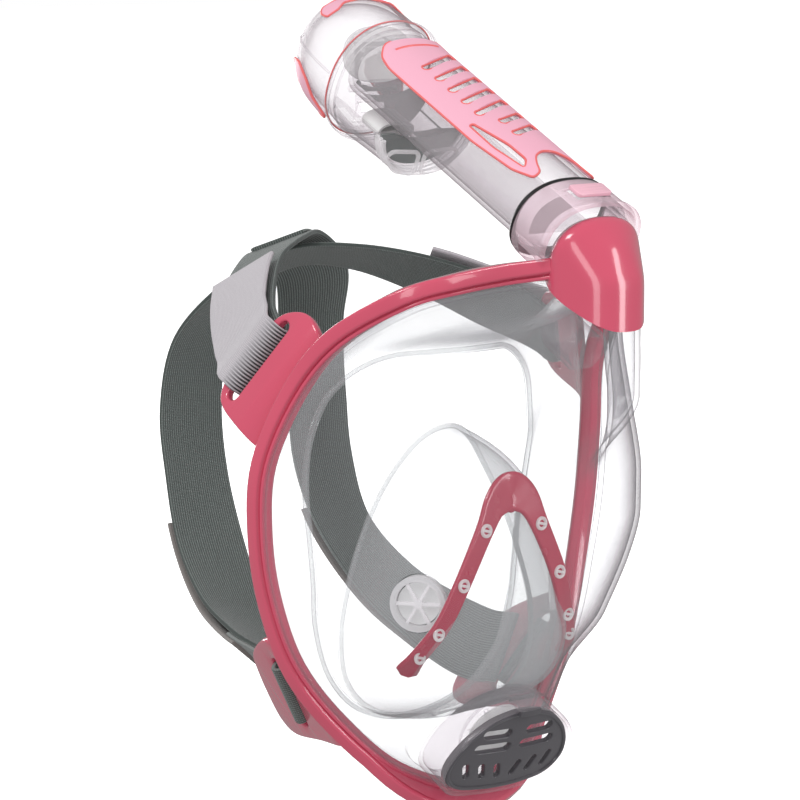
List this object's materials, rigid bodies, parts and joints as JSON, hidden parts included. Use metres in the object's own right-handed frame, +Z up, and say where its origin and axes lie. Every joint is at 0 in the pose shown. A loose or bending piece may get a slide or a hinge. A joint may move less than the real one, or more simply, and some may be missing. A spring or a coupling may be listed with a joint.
{
  "type": "full face snorkel mask",
  "caption": "Full face snorkel mask: clear domed lens in a pink frame, silicone skirt and oronasal pocket, chin drain valve, four-point head straps and a pull-off dry-top tube.",
  "frame": {"origin": "centre of the face opening, between the widest points of the frame", "axes": "+Z up, -Y the way the wearer looks, +X the wearer's left"},
  "size_m": [0.1948, 0.2601, 0.3444],
  "materials": {
    "frame_pink": "gloss coral-pink moulded polycarbonate",
    "stiffener_rose": "gloss deep rose moulding",
    "button_pink": "gloss pale pink",
    "overlay_pink": "soft-touch pale pink grip",
    "lens_clear": "clear polycarbonate lens",
    "clear_plastic": "clear moulded polycarbonate",
    "tube_clear": "clear moulded polycarbonate tube",
    "skirt_silicone": "translucent milky silicone",
    "valve_silicone": "soft translucent silicone",
    "seal_black": "satin black silicone",
    "cover_gunmetal": "gunmetal grey moulded grille",
    "flap_grey": "satin grey silicone",
    "float_white": "matte white",
    "strap_grey": "ribbed elastic webbing, dark grey-green",
    "tail_light": "smooth light grey webbing",
    "tail_taupe": "smooth taupe webbing"
  },
  "bodies": {
    "mask": {"frame": "frame_pink", "lens": "lens_clear", "skirt": "skirt_silicone", "oronasal_pocket": "skirt_silicone", "pocket_stiffener": "stiffener_rose", "stiffener_studs": "clear_plastic", "inhale_seat_left": "clear_plastic", "inhale_seat_right": "clear_plastic", "chin_valve_housing": "lens_clear", "chin_valve_seat": "clear_plastic", "chin_cover": "cover_gunmetal", "chin_cover_latch": "clear_plastic", "socket_hood": "frame_pink", "socket_pipe": "lens_clear", "intake_duct": "clear_plastic", "upper_clip_left": "frame_pink", "upper_clip_right": "frame_pink", "lower_clip_left": "frame_pink", "lower_clip_right": "frame_pink", "strap_left": "strap_grey", "strap_right": "strap_grey", "upper_tail_left": "tail_light", "upper_tail_right": "tail_light", "lower_tail_left": "tail_taupe", "lower_tail_right": "tail_taupe", "crossing_patch": "strap_grey"},
    "snorkel": {"snorkel_collar": "tube_clear", "collar_seal": "seal_black", "snorkel_tube": "tube_clear", "tube_partition": "tube_clear", "grip_overlay": "overlay_pink", "exhale_pod": "tube_clear", "dry_top_rim": "tube_clear", "dry_top_cap": "tube_clear", "top_trim": "frame_pink", "pod_trim": "overlay_pink", "exhale_bracket": "clear_plastic"},
    "collar_button_front": {"collar_button_front": "button_pink"},
    "collar_button_rear": {"collar_button_rear": "button_pink"},
    "inhale_flap_left": {"inhale_flap_left": "valve_silicone"},
    "inhale_flap_right": {"inhale_flap_right": "valve_silicone"},
    "chin_valve_flap": {"chin_valve_flap": "valve_silicone"},
    "exhale_flap": {"exhale_flap": "flap_grey"},
    "float": {"float": "float_white"},
    "float_lever": {"float_lever": "frame_pink", "seal_disc": "valve_silicone"}
  },
  "joints": [
    {"name": "snorkel_pull_off", "type": "slide", "parent": "mask", "child": "snorkel", "axis": [0, 0.8934, 0.4493], "range_m": [0, 0.04]},
    {"name": "front_button_press", "type": "slide", "parent": "snorkel", "child": "collar_button_front", "axis": [0, 0.4493, -0.8934], "range_m": [0, 0.001], "stiffness_N_per_m": 500},
    {"name": "rear_button_press", "type": "slide", "parent": "snorkel", "child": "collar_button_rear", "axis": [0, -0.4493, 0.8934], "range_m": [0, 0.0015], "stiffness_N_per_m": 500},
    {"name": "inhale_flap_left_lift", "type": "slide", "parent": "mask", "child": "inhale_flap_left", "axis": [-0.788, 0.6157, 0], "range_m": [0, 0.0012], "stiffness_N_per_m": 50},
    {"name": "inhale_flap_right_lift", "type": "slide", "parent": "mask", "child": "inhale_flap_right", "axis": [0.788, 0.6157, 0], "range_m": [0, 0.0012], "stiffness_N_per_m": 50},
    {"name": "chin_flap_lift", "type": "slide", "parent": "mask", "child": "chin_valve_flap", "axis": [0, -0.8973, -0.4415], "range_m": [0, 0.0015], "stiffness_N_per_m": 50},
    {"name": "exhale_flap_lift", "type": "slide", "parent": "snorkel", "child": "exhale_flap", "axis": [0, -0.8934, -0.4493], "range_m": [0, 0.0012], "stiffness_N_per_m": 50},
    {"name": "float_rise", "type": "slide", "parent": "snorkel", "child": "float", "axis": [0, 0.8934, 0.4493], "range_m": [0, 0.007]},
    {"name": "lever_close", "type": "hinge", "parent": "snorkel", "child": "float_lever", "pos_m": [0, 0.03317, 0.16656], "axis": [1, 0, 0], "range_deg": [0, 28]}
  ],
  "couplings": [
    {"joint": "lever_close", "follows": "float_rise", "rad_per_m": 69.813}
  ]
}
